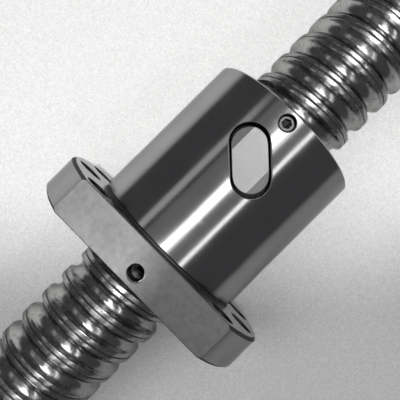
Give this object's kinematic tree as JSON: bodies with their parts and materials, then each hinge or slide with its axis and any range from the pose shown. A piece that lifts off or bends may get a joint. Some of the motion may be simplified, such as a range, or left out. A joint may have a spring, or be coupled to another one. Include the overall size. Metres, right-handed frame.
{
  "type": "ball screw assembly",
  "caption": "Ball screw with a flanged single nut, internal ball returns and machined ends, turning rotation into travel along the screw.",
  "frame": {"origin": "on the screw's axis at the screw's mid length, where the flange's seat face lies at rest", "axes": "+X along the screw towards the nut's free end, +Z out of the flange flat that carries the lubrication port"},
  "size_m": [0.354, 0.093, 0.068],
  "materials": {
    "rolled_steel": "rolled and polished, oiled",
    "ground_steel": "ground, mirror bright on the body and satin on the flats",
    "blasted_steel": "matt, grit blasted",
    "ball_steel": "polished",
    "spring_steel": "phosphated spring steel",
    "black_oxide": "black oxide",
    "wiper_plastic": "moulded, matt"
  },
  "bodies": {
    "nut": {"nut_body": "ground_steel", "return_insert_1": "blasted_steel", "return_insert_2": "blasted_steel", "return_insert_3": "blasted_steel", "loaded_balls_1": "ball_steel", "loaded_balls_2": "ball_steel", "loaded_balls_3": "ball_steel", "returning_ball_1_1": "ball_steel", "returning_ball_1_2": "ball_steel", "returning_ball_1_3": "ball_steel", "returning_ball_2_1": "ball_steel", "returning_ball_2_2": "ball_steel", "returning_ball_2_3": "ball_steel", "returning_ball_3_1": "ball_steel", "returning_ball_3_2": "ball_steel", "returning_ball_3_3": "ball_steel", "wiper_flange_end": "wiper_plastic", "wiper_free_end": "wiper_plastic", "wiper_set_screw": "black_oxide"},
    "ring": {"retaining_ring": "spring_steel"},
    "shaft": {"screw_shaft": "rolled_steel"}
  },
  "joints": [
    {"name": "screw_travel", "type": "slide", "parent": "nut", "child": "ring", "axis": [1, 0, 0], "range_m": [-0.0851, 0.0851]},
    {"name": "screw_turn", "type": "hinge", "parent": "ring", "child": "shaft", "pos_m": [0, 0, 0], "axis": [1, 0, 0], "range_deg": [-3060, 3060]}
  ],
  "couplings": [
    {"joint": "screw_travel", "follows": "screw_turn", "m_per_rad": 0.0015915}
  ]
}
